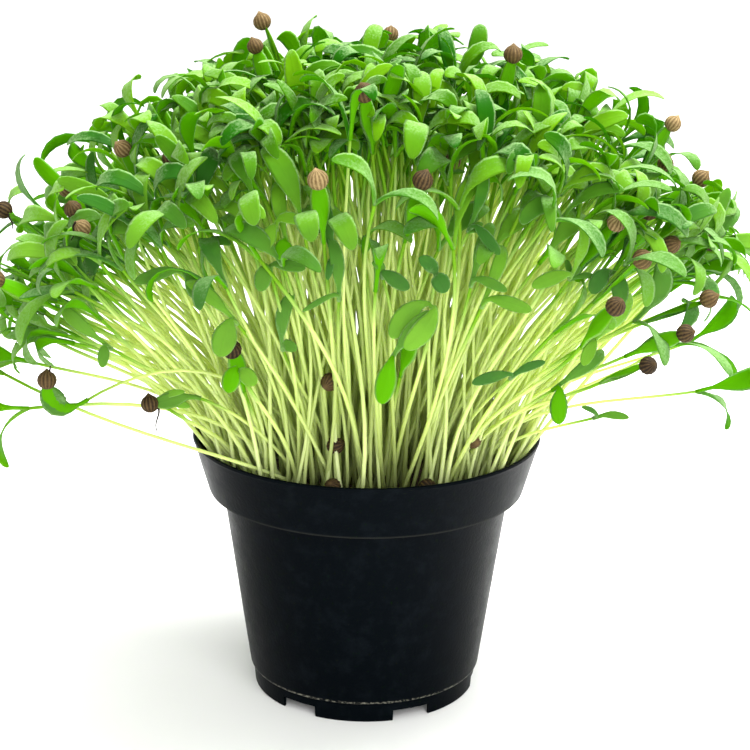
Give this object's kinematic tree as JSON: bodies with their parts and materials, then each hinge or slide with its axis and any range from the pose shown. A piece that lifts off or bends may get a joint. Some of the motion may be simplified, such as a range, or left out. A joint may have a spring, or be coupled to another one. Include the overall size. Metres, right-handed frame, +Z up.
{
  "type": "potted coriander microgreens",
  "caption": "Dense coriander seedlings that fan out in a dome from a round black plastic nursery pot with a deep collar and a notched foot.",
  "frame": {"origin": "on the pot's axis, at the surface its foot rests on", "axes": "+Z up along the pot's axis, -Y towards the front, +X to the right seen from the front"},
  "size_m": [0.1995, 0.1452, 0.1727],
  "materials": {
    "pot": "satin",
    "growing_medium": "matte",
    "seedling": "satin"
  },
  "bodies": {
    "root": {"pot": "pot", "growing_medium": "growing_medium", "seedling_tuft_01": "seedling", "seedling_tuft_02": "seedling", "seedling_tuft_03": "seedling", "seedling_tuft_04": "seedling", "seedling_tuft_05": "seedling", "seedling_tuft_06": "seedling", "seedling_tuft_07": "seedling", "seedling_tuft_08": "seedling", "seedling_tuft_09": "seedling", "seedling_tuft_10": "seedling", "seedling_tuft_11": "seedling", "seedling_tuft_12": "seedling", "seedling_tuft_13": "seedling", "seedling_tuft_14": "seedling", "seedling_tuft_15": "seedling", "seedling_tuft_16": "seedling", "seedling_tuft_17": "seedling", "seedling_tuft_18": "seedling", "seedling_tuft_19": "seedling", "seedling_tuft_20": "seedling", "seedling_tuft_21": "seedling", "seedling_tuft_22": "seedling", "seedling_tuft_23": "seedling", "seedling_tuft_24": "seedling", "seedling_tuft_25": "seedling", "seedling_tuft_26": "seedling", "seedling_tuft_27": "seedling", "seedling_tuft_28": "seedling", "seedling_tuft_29": "seedling", "seedling_tuft_30": "seedling", "seedling_tuft_31": "seedling", "seedling_tuft_32": "seedling", "seedling_tuft_33": "seedling", "seedling_tuft_34": "seedling", "seedling_tuft_35": "seedling", "seedling_tuft_36": "seedling", "seedling_tuft_37": "seedling", "seedling_tuft_38": "seedling", "seedling_tuft_39": "seedling", "seedling_tuft_40": "seedling", "seedling_tuft_41": "seedling", "seedling_tuft_42": "seedling"}
  },
  "joints": []
}
